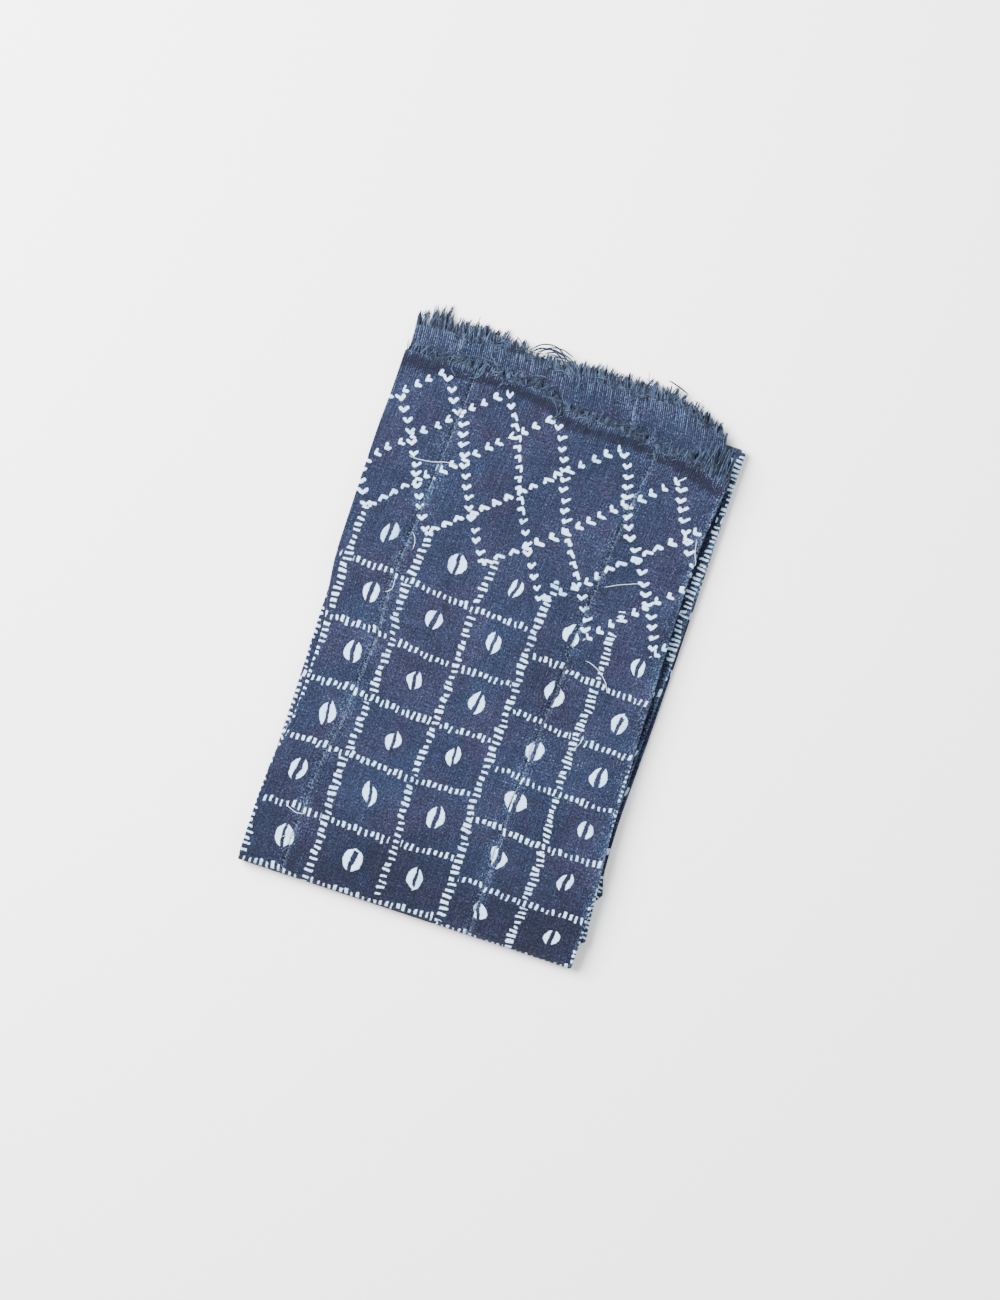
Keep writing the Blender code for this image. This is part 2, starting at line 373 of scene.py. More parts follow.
# Maps of the sheets hold the flat cloth in decimetres
DECIMETRE = 100.0

# Worn places and painted shade, in millimetres: where the cloth's lower half and its
# near fold lie along it, how wide the band of painted shade along the near fold is,
# how far the weave is loose from a raw end, how far a seam wears the cloth beside it,
# how wide the faded line on the side fold is, and how far the painted shadow by the
# upper raw end is from that end
LOWER_HALF = 700.0
NEAR_FOLD_ALONG = 362.0
NEAR_FOLD_SHADE_BAND = (70.0, 4.0)
LOOSE_REACH = 11.0
SEAM_WEAR = 4.0
FADED_LINE = 0.9
SHADED_FROM_END = 7.0

# Sewing: where the stitches begin and end, how long they are to each side of
# the seam, how thick, and the steps between them, the last three in millimetres
SEWN_FROM = 12 * MM
STITCH_REACH = (0.7, 1.9)
STITCH_RADIUS = (0.16, 0.28)
STITCH_STEPS = (2.0, 2.8, 3.8, 6.0)

# Fringe: the tufts' widths, the yarns' pitch where they show and where they
# don't, and the yarns' radius, all in millimetres; then how deep they root
TUFTS = (1.5, 2.2, 3.0, 4.5)
YARN_PITCH = (0.4, 1.2)
YARN_RADIUS = (0.26, 0.42)
SIDE_MARGIN = 0.4 * MM
ROOT = 2.5 * MM


def smooth(table, column=1, points=600):
    """A curve through a table's rows that never overshoots, as close points."""
    rows = np.array(table, float)
    x, y = rows[:, 0], rows[:, column]
    step = np.diff(x)
    rise = np.diff(y) / step
    slope = np.concatenate([rise[:1], np.zeros(len(x) - 2), rise[-1:]])
    turning = rise[:-1] * rise[1:] <= 0
    both = np.where(turning, 1.0, rise[:-1] + rise[1:])
    slope[1:-1] = np.where(turning, 0.0, 2 * rise[:-1] * rise[1:] / both)
    fine = np.linspace(x[0], x[-1], points)
    k = np.clip(np.searchsorted(x, fine, side="right") - 1, 0, len(x) - 2)
    t = (fine - x[k]) / step[k]
    value = (
        (1 + 2 * t) * (1 - t) ** 2 * y[k]
        + t * (1 - t) ** 2 * step[k] * slope[k]
        + t * t * (3 - 2 * t) * y[k + 1]
        - t * t * (1 - t) * step[k] * slope[k + 1]
    )
    return fine, value


CURVES = {
    level: (smooth(SEAM_PLACE[level]), smooth(SIDES[level], 1), smooth(SIDES[level], 2))
    for level in SIDES
}


def read(curve, place):
    """A curve's value, in metres, at a place in metres."""
    return np.interp(place / MM, *curve) * MM


def stretch_lengths():
    """How far along the cloth each stretch begins and ends."""
    lengths = [
        abs(end - begin) if kind == "flat" else pi * end
        for kind, _, begin, end, _ in STRETCHES
    ]
    return np.concatenate([[0.0], np.cumsum(lengths)])


MARKS_ALONG = stretch_lengths()
TOTAL = float(MARKS_ALONG[-1])


def on_path(along):
    """Y, height, facing and the place of the seam and sides, along the bundle."""
    along = np.asarray(along, float)
    which = np.clip(np.searchsorted(MARKS_ALONG, along, side="left") - 1, 0, len(STRETCHES) - 1)
    y, z, out, up, seam, left, right = (np.zeros(along.shape) for _ in range(7))
    for k, (kind, level, begin, end, height) in enumerate(STRETCHES):
        here = which == k
        gone = along[here] - MARKS_ALONG[k]
        if kind == "flat":
            y[here] = begin + gone * np.sign(end - begin)
            z[here] = height
            up[here] = 1.0 if level in ("top", "third") else -1.0
        else:
            turn = gone / end
            far = 1.0 if level == "bottom" else -1.0
            over = 1.0 if level == "top" else -1.0
            y[here] = begin + far * end * np.sin(turn)
            z[here] = height + over * end * np.cos(turn)
            inward = 1.0 if level == "third" else -1.0
            out[here] = -inward * far * np.sin(turn)
            up[here] = -inward * over * np.cos(turn)
        seam_curve, left_curve, right_curve = CURVES[level]
        seam[here] = read(seam_curve, y[here])
        left[here] = read(left_curve, y[here])
        right[here] = read(right_curve, y[here])
    return y, z, out, up, seam, left, right


def in_bundle(place, proud):
    """Where points lie across the folded bundle, and how high in it."""
    past_left = LEFT_FOLD - place
    past_right = place - RIGHT_FOLD
    x, rise = place.copy(), LAYER + proud
    turn = past_left / LEFT_RADIUS
    reach = LEFT_RADIUS + proud
    here = (past_left > 0) & (turn < pi)
    x = np.where(here, LEFT_FOLD - reach * np.sin(turn), x)
    rise = np.where(here, LAYER - LEFT_RADIUS + reach * np.cos(turn), rise)
    here = turn >= pi
    x = np.where(here, LEFT_FOLD + past_left - pi * LEFT_RADIUS, x)
    rise = np.where(here, LAYER - 2 * LEFT_RADIUS - proud, rise)
    turn = past_right / RIGHT_RADIUS
    reach = RIGHT_RADIUS + proud
    here = (past_right > 0) & (turn < pi)
    x = np.where(here, RIGHT_FOLD + reach * np.sin(turn), x)
    rise = np.where(here, LAYER - RIGHT_RADIUS + reach * np.cos(turn), rise)
    here = turn >= pi
    x = np.where(here, RIGHT_FOLD - past_right + pi * RIGHT_RADIUS, x)
    rise = np.where(here, LAYER - 2 * RIGHT_RADIUS - proud, rise)
    return x, rise


def folded(along, across, proud):
    """Where points of the flat cloth come to lie, as rows of X, Y, Z."""
    flat = (np.asarray(a, float) for a in (along, across, proud))
    along, across, proud = np.broadcast_arrays(*flat)
    y, z, out, up, seam, left, right = on_path(along)
    x, rise = in_bundle(seam + across, proud)
    x = left + x * (right - left) / WIDTH
    y = y + out * rise
    z = z + up * rise
    z *= 1 + UNEVEN * (np.sin(11 * x + 0.6) * np.cos(9 * y - 0.5) - 0.5 * np.sin(17 * y + 5 * x))
    z *= 1 - NEAR_SLOPE * np.maximum(0.0, 1 - y / NEAR_REACH) ** 2
    lift = sum(h * np.sin(a * x + b * y + c) for a, b, c, h in WAVES)
    z += MM * lift * np.clip(z / PILE, 0, 1) ** 2
    z -= OVERHANG_DROP * np.maximum(0.0, (y - OVERHANG_FROM) / OVERHANG_LENGTH) ** 1.5
    y = y - SKEW * x / WIDTH * np.maximum(0.0, 1 - y / SKEW_REACH)
    return np.stack([x - CENTRE[0], y - CENTRE[1], np.maximum(z, LOWEST)], axis=-1)


def raw_edge(upper, across):
    """Where the weave begins or ends along the cloth, at one raw end."""
    across = np.asarray(across, float)
    end = 0.0 if upper else TOTAL
    seam = on_path(np.array([end]))[4][0]
    place = seam + across
    x = in_bundle(place, np.zeros(across.shape))[0]
    turned = np.maximum(0.0, np.maximum(LEFT_FOLD - place, place - RIGHT_FOLD))
    short = FLAP_SHORT * np.minimum(1.0, turned / FLAP_RAMP)
    ragged = RAGGED * (np.sin(across * 900) + np.sin(across * 2170 + 1.0))
    if upper:
        return UPPER_END - read(smooth(UPPER_EDGE), x) + short + ragged
    return TOTAL + read(smooth(LOWER_EDGE), x) - LOWER_END - short + ragged


def row_shares():
    """The rows of a sheet: for each, its stretch and its share of that stretch."""
    rows = []
    for k, (kind, level, *_) in enumerate(STRETCHES):
        length = MARKS_ALONG[k + 1] - MARKS_ALONG[k]
        if kind == "fold":
            steps = GREAT_STEPS if level == "top" else SMALL_STEPS
            shares = np.arange(steps) / steps
        elif level == "second":
            plain = np.arange(PLAIN_STEPS) / PLAIN_STEPS * PLAIN_SHARE
            shown = PLAIN_SHARE + END_SHARE * np.arange(END_STEPS + 1) / END_STEPS
            shares = np.concatenate([plain, shown])
        else:
            steps = round(length / (FINE_ROW if level == "top" else PLAIN_ROW))
            shares = np.arange(steps) / steps
        rows += [(k, share) for share in shares]
    return rows


ROWS = row_shares()


def spread(first, last, steps):
    """Even steps from one place to another, both ends among them."""
    return first + (last - first) * np.arange(steps + 1) / steps


def columns_of(seam, first, last):
    """The columns of a strip at one place along it; most follow its side fold."""
    side_folds = (
        (LEFT_FOLD - seam, -pi * LEFT_RADIUS, BEFORE_LEFT_FOLD),
        (RIGHT_FOLD - seam, pi * RIGHT_RADIUS, BEFORE_RIGHT_FOLD),
    )
    for turned, round_it, before in side_folds:
        if first < turned < last:
            low, high = sorted((turned, turned + round_it))
            return np.concatenate(
                [
                    spread(first, low, before),
                    spread(low, high, ROUND_FOLD)[1:],
                    spread(high, last, FLAT_COLUMNS - before)[1:],
                ]
            )
    return spread(first, last, round((last - first) / COLUMN))


def weave_strip(name, number, first, last):
    """One strip as a flat grid, with the resist charted on it, then folded."""
    first += 0.5 * SEAM_GAP
    last -= 0.5 * SEAM_GAP
    seam_by_near_fold = SEAM_PLACE["top"][0][1] * MM
    count = len(columns_of(seam_by_near_fold, first, last)) - 1
    bm = bmesh.new()
    bmesh.ops.create_grid(bm, x_segments=count, y_segments=len(ROWS) - 1, size=0.5)
    flat = np.array([v.co for v in bm.verts])
    column = np.rint((flat[:, 0] + 0.5) * count).astype(int)
    row = np.rint((flat[:, 1] + 0.5) * (len(ROWS) - 1)).astype(int)
    which = np.array([k for k, share in ROWS])[row]
    share = np.array([share for k, share in ROWS])[row]
    begin, end = MARKS_ALONG[which], MARKS_ALONG[which + 1]
    each = [MARKS_ALONG[k] + s * (MARKS_ALONG[k + 1] - MARKS_ALONG[k]) for k, s in ROWS]
    grid = np.array([columns_of(seam, first, last) for seam in on_path(np.array(each))[4]])
    across = grid[row, column]
    begin = np.where(which == 0, raw_edge(True, across), begin)
    end = np.where(which == len(STRETCHES) - 1, raw_edge(False, across), end)
    along = begin + share * (end - begin)
    edge = np.minimum(across - first, last - across)
    drawn_in = PUCKER * np.exp(-edge / DRAWN_IN)
    raised = PUCKER * np.exp(-(((edge - PUCKER_FROM) / PUCKER_WIDTH) ** 2))
    gathers = 1 + np.sin(along * 700 + 3 * number) * np.sin(along * 260)
    places = folded(along, across, raised * gathers - drawn_in)
    for v, place in zip(bm.verts, places):
        v.co = place
    if inside_out(bm, along, number):
        bmesh.ops.reverse_faces(bm, faces=bm.faces[:])
    mesh = bpy.data.meshes.new(name)
    bm.to_mesh(mesh)
    bm.free()
    for polygon in mesh.polygons:
        polygon.use_smooth = True
    corner = np.zeros(len(mesh.loops), int)
    mesh.loops.foreach_get("vertex_index", corner)
    crest = np.abs(on_path(along)[4] + across - RIGHT_FOLD - CREST_PAST)
    worn = np.minimum(edge, crest + CREST_LESS)
    inside = np.minimum(along - raw_edge(True, across), raw_edge(False, across) - along)
    chart_resist(mesh, corner, along / MM, across / MM, (inside / MM, worn / MM), number)
    sheet = bpy.data.objects.new(name, mesh)
    bpy.context.scene.collection.objects.link(sheet)
    shell = sheet.modifiers.new("weave", "SOLIDIFY")
    shell.thickness = THICK
    shell.offset = 0.0
    return sheet


def inside_out(bm, along, number):
    """Whether the right side looks down on the panel, or up in a flap turned under."""
    bm.faces.ensure_lookup_table()
    bm.normal_update()
    on_panel = 0.3
    top = [f.normal.z for f in bm.faces if max(along[v.index] for v in f.verts) < on_panel]
    turned_under = number in (0, 4)
    return sum(top) > 0 if turned_under else sum(top) < 0


def row_lines(first_rows):
    """Every row of the resist along one side of the cloth, to its other end."""
    last = first_rows[-1]
    further = int((TOTAL / MM - last) / ROW_PITCH) + 2
    return np.array(first_rows + [last + ROW_PITCH * (k + 1) for k in range(further)])


def counted(place, lines):
    """A place as a number of lines: 2.5 is midway from the third to the fourth."""
    return np.interp(place, lines, np.arange(len(lines)))


def chart_resist(mesh, corner, along, across, ends, number):
    """Charts the flat cloth, its resist lines and its worn places on a sheet."""
    lean = np.interp(along, *np.array(LEAN, float).T)
    slope = np.interp(along, *np.array(SLOPE, float).T)
    wander = 1.3 * np.sin(along / 37 + number) + 0.8 * np.sin(along / 17 + 2 * number)
    line = counted(across - lean + wander, LINES)
    bow = 1.2 * np.sin(across / 23 + number)
    square = along + slope * (across - SLOPE_MIDDLE) + bow - OUT_OF_STEP[number]
    left = counted(square, row_lines(LEFT_ROWS))
    right = counted(square, row_lines(RIGHT_ROWS))
    near_end = np.minimum(along, TOTAL / MM - along - FOOT_MARGIN)
    waver = 2.2 * np.sin(near_end / 19 + 1.7 * number) + 1.6 * np.sin(across / 31 + 4)
    falling = counted(across - FALLING_SLANT * (near_end - NET_MIDDLE) + waver, FALLING)
    rising = counted(across - RISING_SLANT * (near_end - NET_MIDDLE) - waver, RISING)
    foot = np.minimum(square, TOTAL / MM - square - FOOT_MARGIN)
    shell_foot = np.interp(across - lean, *np.array(SHELL_FOOT, float).T)
    maps = {
        "Cloth": (across / DECIMETRE, along / DECIMETRE),
        "Ends": ends,
        "Line": (line, near_end),
        "Rows": (left, right),
        "Net": (falling, rising),
        "Feet": (foot - LADDER_FOOT, foot - shell_foot),
    }
    for name, (u, v) in maps.items():
        layer = mesh.uv_layers.new(name=name)
        values = np.stack([u[corner], v[corner]], axis=-1).astype(np.float32)
        layer.data.foreach_set("uv", values.ravel())
    mesh.uv_layers.active = mesh.uv_layers["Cloth"]
    mesh.uv_layers["Cloth"].active_render = True


class Shade:
    """A number that a material works out at each point, with plain arithmetic."""

    def __init__(self, tree, socket):
        self.tree, self.socket = tree, socket

    def math(self, operation, *others):
        node = self.tree.nodes.new("ShaderNodeMath")
        node.operation = operation
        for slot, value in zip(node.inputs, (self, *others)):
            if isinstance(value, Shade):
                self.tree.links.new(value.socket, slot)
            else:
                slot.default_value = value
        return Shade(self.tree, node.outputs[0])

    def __add__(self, other):
        return self.math("ADD", other)

    def __sub__(self, other):
        return self.math("SUBTRACT", other)

    def __mul__(self, other):
        return self.math("MULTIPLY", other)

    def __truediv__(self, other):
        return self.math("DIVIDE", other)

    def __neg__(self):
        return self.math("MULTIPLY", -1.0)

    def size(self):
        return self.math("ABSOLUTE")

    def floor(self):
        return self.math("FLOOR")

    def fract(self):
        return self.math("FRACT")

    def least(self, other):
        return self.math("MINIMUM", other)

    def most(self, other):
        return self.math("MAXIMUM", other)

    def power(self, other):
        return self.math("POWER", other)

    def between(self, low, high):
        """Nought below low and one above high, with soft ends."""
        node = self.tree.nodes.new("ShaderNodeMapRange")
        node.interpolation_type = "SMOOTHSTEP"
        self.tree.links.new(self.socket, node.inputs["Value"])
        node.inputs["From Min"].default_value = low
        node.inputs["From Max"].default_value = high
        return Shade(self.tree, node.outputs["Result"])


class Cloth:
    """The node tree of one material, and the patterns that it reads."""

    def __init__(self, name):
        self.material = bpy.data.materials.new(name)
        self.material.use_nodes = True
        self.tree = self.material.node_tree
        self.shader = self.tree.nodes["Principled BSDF"]

    def chart(self, name):
        """The two numbers of a map of the sheet."""
        node = self.tree.nodes.new("ShaderNodeUVMap")
        node.uv_map = name
        return self.parts(node.outputs["UV"])

    def parts(self, socket):
        node = self.tree.nodes.new("ShaderNodeSeparateXYZ")
        self.tree.links.new(socket, node.inputs[0])
        return [Shade(self.tree, out) for out in node.outputs]

    def place(self, *values):
        node = self.tree.nodes.new("ShaderNodeCombineXYZ")
        for slot, value in zip(node.inputs, values):
            if isinstance(value, Shade):
                self.tree.links.new(value.socket, slot)
            else:
                slot.default_value = value
        return node.outputs[0]

    def chance(self, *values):
        """Three chance numbers from 0 to 1 that are the same all over one mark."""
        node = self.tree.nodes.new("ShaderNodeTexWhiteNoise")
        node.noise_dimensions = "3D"
        self.tree.links.new(self.place(*values), node.inputs["Vector"])
        return self.parts(node.outputs["Color"])

    def cloudy(self, place, scale, detail=2.0, rough=0.5):
        """A soft uneven number about one half."""
        node = self.tree.nodes.new("ShaderNodeTexNoise")
        node.noise_dimensions = "3D"
        node.inputs["Scale"].default_value = scale
        node.inputs["Detail"].default_value = detail
        node.inputs["Roughness"].default_value = rough
        self.tree.links.new(place, node.inputs["Vector"])
        return Shade(self.tree, node.outputs[0])

    def blend(self, share, first, second):
        """A colour between two, each a colour socket or three numbers."""
        node = self.tree.nodes.new("ShaderNodeMix")
        node.data_type = "RGBA"
        self.tree.links.new(share.socket, node.inputs["Factor"])
        for slot, colour in zip((node.inputs[6], node.inputs[7]), (first, second)):
            if isinstance(colour, tuple):
                slot.default_value = (*colour, 1.0)
            else:
                self.tree.links.new(colour, slot)
        return node.outputs[2]

    def relief(self, height, depth):
        """Raises the surface by a height, seen in its light only."""
        node = self.tree.nodes.new("ShaderNodeBump")
        node.inputs["Distance"].default_value = depth
        self.tree.links.new(height.socket, node.inputs["Height"])
        self.tree.links.new(node.outputs[0], self.shader.inputs["Normal"])


def tint(*screen):
    """A colour from its red, green and blue on the screen, each 11 to 255."""
    return tuple(((c / 255 + 0.055) / 1.055) ** 2.4 for c in screen)


def rungs(cloth, off_line, place, number, pitch, length, width):
    """How far a point is from the nearest rung of one stitched ladder."""
    step = place / pitch
    first, second, third = cloth.chance(step.floor(), number, 3.0)
    inside = (step.fract() - 0.5) * pitch + (first - 0.5) * 0.9 + off_line * (second - 0.5) * 0.36
    sideways = (off_line + (third - 0.5) * 1.6).size() - (first - 0.5) * 1.3 - length
    thick = inside.size() - (third - 0.5) * 0.6 - width
    return sideways.math("SMOOTH_MAX", thick, 0.9)


def ladders(cloth, line, row, across, along):
    """The upright ladders and the rows between them, as a distance in mm."""
    upright_line, level_line = (line + 0.5).floor(), (row + 0.5).floor()
    off_upright = (line - upright_line) * CELL[0]
    off_level = (row - level_line) * CELL[1]
    at_fold = (upright_line - ROUND_THE_FOLD + 0.5).math("GREATER_THAN", 0.0)
    again = (upright_line - BEGUN_AGAIN - 0.5).math("GREATER_THAN", 0.0)
    pitch, length, width = LADDER_RUNG
    upright = rungs(
        cloth,
        off_upright,
        along,
        upright_line,
        again * CLOSER + pitch,
        at_fold * LONGER + length,
        again * THINNER + width,
    )
    level = rungs(cloth, off_level, across, level_line + 40.0, *ROW_RUNG)

    # Where two cross, one of them runs on and the other stops short of it
    far = 20.0
    first, _, _ = cloth.chance(upright_line, level_line, 8.0)
    runs_on = (first - 0.45).math("SIGN") * far
    upright = upright.most(runs_on - off_level.size() - (far - LADDER_GAP))
    level = level.most(-runs_on - off_upright.size() - (far - ROW_GAP))

    # The topmost rows past the line begun again are put out of reach
    beyond = 50.0
    begun = (line - BEGUN_AGAIN).math("GREATER_THAN", 0.0)
    level = level.most((begun * (-level_line + (LEFT_PLAIN + beyond)) - beyond) * far)
    return upright.least(level)


def shells(cloth, line, row):
    """The split shell in the middle of each cell, as a distance in mm."""
    first, second, third = cloth.chance(line.floor(), row.floor(), 1.0)
    fourth, fifth, sixth = cloth.chance(line.floor(), row.floor(), 2.0)
    u = (line.fract() - 0.5) * CELL[0] - (first - 0.5) * 5.0
    v = (row.fract() - 0.5) * CELL[1] - (second - 0.5) * 4.0 + SHELL_RISE
    u = u + v * (third - 0.5) * 0.24
    v = v + u.math("SIGN") * (fourth - 0.5) * 2.4
    wide = u.size() / (fifth * 1.1 + first * 0.5 + SHELL_HALF[0])
    tall = v.size() / (fifth * 1.3 + second * 0.5 + SHELL_HALF[1])
    outline = (wide.power(1.2) + tall.power(2.3) - 1.0) * 4.6
    slit = -u.size() + SLIT_HALF + third * 0.65
    joined = v * (sixth - 0.5).math("SIGN") + 5.4 + (sixth - 0.5).size() * 34.0
    return outline.most(slit.least(joined))


def folded_marks(cloth, lines, other, near_end, slant, marks, kind):
    """Small folded marks along one family of the net's lines, as a distance in mm."""
    spacing, pitch, facing = marks
    facing = radians(facing)
    nearest = (lines + 0.5).floor()
    step = near_end / pitch + nearest * 0.37
    first, second, third = cloth.chance(step.floor(), nearest, kind)
    turned, _, _ = cloth.chance((step / 5.0).floor(), nearest, kind + 2.0)
    down = (step.fract() - 0.5) * pitch + (first - 0.5) * 0.9
    x = (lines - nearest) * spacing + down * slant + (second - 0.5) * 1.4
    up = down * (-turned + 0.17).math("SIGN")
    ahead = x * np.cos(facing) + up * np.sin(facing) + 1.5
    beside = x * np.sin(facing) - up * np.cos(facing) + ahead * (third - 0.5) * 0.5
    arm = beside.math("SIGN") * 0.45 + first * 0.7 + ARM
    wide = beside.size()
    reach = (wide * ARM_WAY[0] + ahead * ARM_WAY[1]).most(0.0).least(arm)
    gap_beside, gap_ahead = wide - reach * ARM_WAY[0], ahead - reach * ARM_WAY[1]
    gap = (gap_beside.power(2.0) + gap_ahead.power(2.0)).power(0.5)
    mark = gap - ARM_HALF - second * 0.22
    cells = nearest - other.floor()
    return mark.most((-cells - 1.1).most(cells - 2.1) * 9.0)


def net(cloth, falling, rising, near_end):
    """The crossing lines of folded marks along each raw end."""
    down = folded_marks(cloth, falling, rising, near_end, FALLING_SLANT, FALLING_MARKS, 5.0)
    up = folded_marks(cloth, rising, falling, near_end, RISING_SLANT, RISING_MARKS, 6.0)
    return down.least(up)


def indigo_weave():
    """Handspun cotton dyed indigo, its resist marks left pale."""
    cloth = Cloth("indigo_weave")
    across, along, _ = cloth.chart("Cloth")
    inside, worn, _ = cloth.chart("Ends")
    line, near_end, _ = cloth.chart("Line")
    left, right, _ = cloth.chart("Rows")
    falling, rising, _ = cloth.chart("Net")
    ladder_foot, shell_foot, _ = cloth.chart("Feet")
    flat = cloth.place(across, along, 0.0)
    other = cloth.place(across, along, 7.0)
    across, along = across * DECIMETRE, along * DECIMETRE

    # Hand wander of the stitching, then the marks themselves
    wander = (cloth.cloudy(flat, 9.0, 1.0) - 0.5) * 0.09
    drift = (cloth.cloudy(other, 8.0, 1.0) - 0.5) * 0.09
    line = line + wander
    begun = (line - BEGUN_AGAIN).math("GREATER_THAN", 0.0)
    row = left + (right + RIGHT_NUMBERS - left) * begun + drift
    grid = ladders(cloth, line, row, across, along)
    grid = grid.most(-ladder_foot - (line.fract() - 0.5).size() * 22.0 + 9.0)
    grid = grid.least(shells(cloth, line, row).most(-shell_foot))
    netting = net(cloth, falling + wander, rising + drift, near_end)
    corner = (-across + PLAIN_CORNER[0]).least(-near_end + PLAIN_CORNER[1])
    netting = netting.most(corner)
    ragged = (cloth.cloudy(flat, 60.0, 3.0, 0.65) - 0.5) * 1.8
    pale = (-(grid.least(netting) + ragged)).between(-0.2, 0.35)

    # Warp and weft threads, slubs, and the uneven take of the dye
    slub = cloth.cloudy(cloth.place(across * 0.85, along * 0.04, 1.0), 1.0, 3.0, 0.6) - 0.5
    weft = cloth.cloudy(cloth.place(across * 0.06, along * 0.8, 4.0), 1.0, 3.0, 0.6) - 0.5
    clouds = cloth.cloudy(flat, 1.9, 4.0, 0.55) - 0.5
    mottled = cloth.cloudy(other, 14.0, 4.0, 0.6) - 0.5
    grain = cloth.cloudy(cloth.place(across * 0.85, along * 0.7, 2.0), 1.0, 2.0, 0.8) - 0.5
    hue = cloth.cloudy(other, 3.2, 3.0, 0.6)
    speck = cloth.cloudy(flat, 85.0, 2.0, 0.7)

    # Where the cloth is loose, worn or faded, and where shade is painted in along the near fold
    # and by the upper raw end
    lower = (along - LOWER_HALF).math("GREATER_THAN", 0.0)
    loose = (-inside / LOOSE_REACH).math("EXPONENT").least(1.0)
    ribs = (across * 4.1 + slub * 7.0).math("SINE")
    seam_wear = (-worn / SEAM_WEAR).math("EXPONENT")
    # Painted shade: a dark band along the near fold, where the cloth rolls away from the light
    near_fold_shade = (along - NEAR_FOLD_ALONG).size().between(*NEAR_FOLD_SHADE_BAND)
    side_fold = (line - LAST_ON_PANEL - 0.4).math("GREATER_THAN", 0.0)
    faded_line = (-worn / FADED_LINE).math("EXPONENT") * side_fold
    # Painted shadow just inside the upper raw end, under its loose threads; none on the lower half
    off_shade = (inside - SHADED_FROM_END - clouds * 20.0).size()
    shaded = off_shade.between(6.0, 1.0) * (-lower + 1.0)

    # How light the dye is, and its colour from deep indigo to bare thread
    light = grain * 2.9 + slub * 0.8 + weft * 0.6 + clouds * 0.6 + mottled * 0.35 + 0.2
    worn_thread = grain * 2.4 + mottled * 1.6 + clouds * 1.2 + 0.1
    light = light + seam_wear * worn_thread + faded_line * 0.45
    loose_thread = ribs * (lower * 0.3 + 0.45) + slub * 1.2 + lower * 0.04 + 0.02
    light = light + ribs * 0.05 + loose * loose_thread
    # Painted shade taken off the dye's lightness: the band along the near fold and the shadow by
    # the upper raw end
    light = light - near_fold_shade * 0.22 - shaded * 0.42
    middle = cloth.blend(hue.between(0.36, 0.64), tint(42, 43, 69), tint(33, 44, 70))
    dye = cloth.blend(light.between(-0.2, 0.5), tint(14, 17, 32), middle)
    dye = cloth.blend(light.between(0.45, 1.15), dye, tint(83, 108, 140))
    flecks = (speck + seam_wear * 0.13).between(0.69, 0.79) * 0.75
    dye = cloth.blend(flecks, dye, tint(107, 130, 155))
    tinged = cloth.cloudy(other, 4.5, 2.0).between(0.52, 0.7)
    undyed = cloth.blend(tinged, tint(199, 227, 255), tint(164, 199, 235))
    thread = (grain + slub * 0.5 + weft * 0.5).between(0.08, 0.3)
    undyed = cloth.blend(thread * 0.5, undyed, tint(114, 131, 160))
    colour = cloth.blend(pale * 0.97, dye, undyed)
    cloth.tree.links.new(colour, cloth.shader.inputs["Base Color"])

    ridge = (across * 5.2).math("SINE") * (along * 4.6).math("SINE")
    height = ridge * 0.3 + slub * 0.8 + weft * 0.6 + grain * 1.6 + pale * 0.25 + loose * ribs * 0.3
    cloth.relief(height, 0.0007)
    cloth.shader.inputs["Roughness"].default_value = 0.95
    cloth.shader.inputs["Specular IOR Level"].default_value = 0.08
    cloth.shader.inputs["Sheen Weight"].default_value = 0.05
    cloth.shader.inputs["Sheen Roughness"].default_value = 0.6
    return cloth.material


def yarn(name, dark, light, deep=1.0):
    """Loose cotton yarn, each thread dyed a little differently, most of them deep."""
    cloth = Cloth(name)
    tone, share, _ = cloth.chart("Yarn")
    node = cloth.tree.nodes.new("ShaderNodeTexCoord")
    patch = cloth.cloudy(node.outputs["Object"], 260.0, 2.0)
    fine = cloth.cloudy(node.outputs["Object"], 1400.0, 2.0)
    bright = tone * 0.75 + (patch - 0.5) * 1.2 + (fine - 0.5) * 0.9 + share * 0.15
    colour = cloth.blend(bright.between(0.0, 1.0).power(deep), dark, light)
    cloth.tree.links.new(colour, cloth.shader.inputs["Base Color"])
    cloth.relief(fine, 0.0002)
    cloth.shader.inputs["Roughness"].default_value = 0.9
    cloth.shader.inputs["Specular IOR Level"].default_value = 0.14
    cloth.shader.inputs["Sheen Weight"].default_value = 0.1
    return cloth.material


def spin_threads(name, runs, material):
    """A mesh of round threads, from runs of points with a radius at each."""
    curve = bpy.data.curves.new(name, "CURVE")
    curve.dimensions = "3D"
    curve.bevel_depth = 1.0
    curve.bevel_resolution = 0
    for points, radii in runs:
        spline = curve.splines.new("POLY")
        spline.points.add(len(points) - 1)
        weighted = np.c_[points, np.ones(len(points))].astype(np.float32)
        spline.points.foreach_set("co", weighted.ravel())
        spline.points.foreach_set("radius", np.asarray(radii, np.float32))
    guide = bpy.data.objects.new(name + "_guide", curve)
    bpy.context.scene.collection.objects.link(guide)
    spun = guide.evaluated_get(bpy.context.evaluated_depsgraph_get())
    mesh = bpy.data.meshes.new_from_object(spun)
    bpy.data.objects.remove(guide)
    mesh.name = name
    lengths = [len(points) for points, _ in runs]
    tones = np.random.default_rng(len(runs)).random(len(runs))
    ring = len(mesh.vertices) // sum(lengths)
    tone = np.repeat(tones, np.array(lengths) * ring)
    share = np.concatenate([np.repeat(np.linspace(0, 1, n), ring) for n in lengths])
    corner = np.zeros(len(mesh.loops), int)
    mesh.loops.foreach_get("vertex_index", corner)
    values = np.stack([tone[corner], share[corner]], axis=-1).astype(np.float32)
    mesh.uv_layers.new(name="Yarn").data.foreach_set("uv", values.ravel())
    mesh.materials.clear()
    mesh.materials.append(material)
    for polygon in mesh.polygons:
        polygon.use_smooth = True
    threads = bpy.data.objects.new(name, mesh)
    bpy.context.scene.collection.objects.link(threads)
    return threads


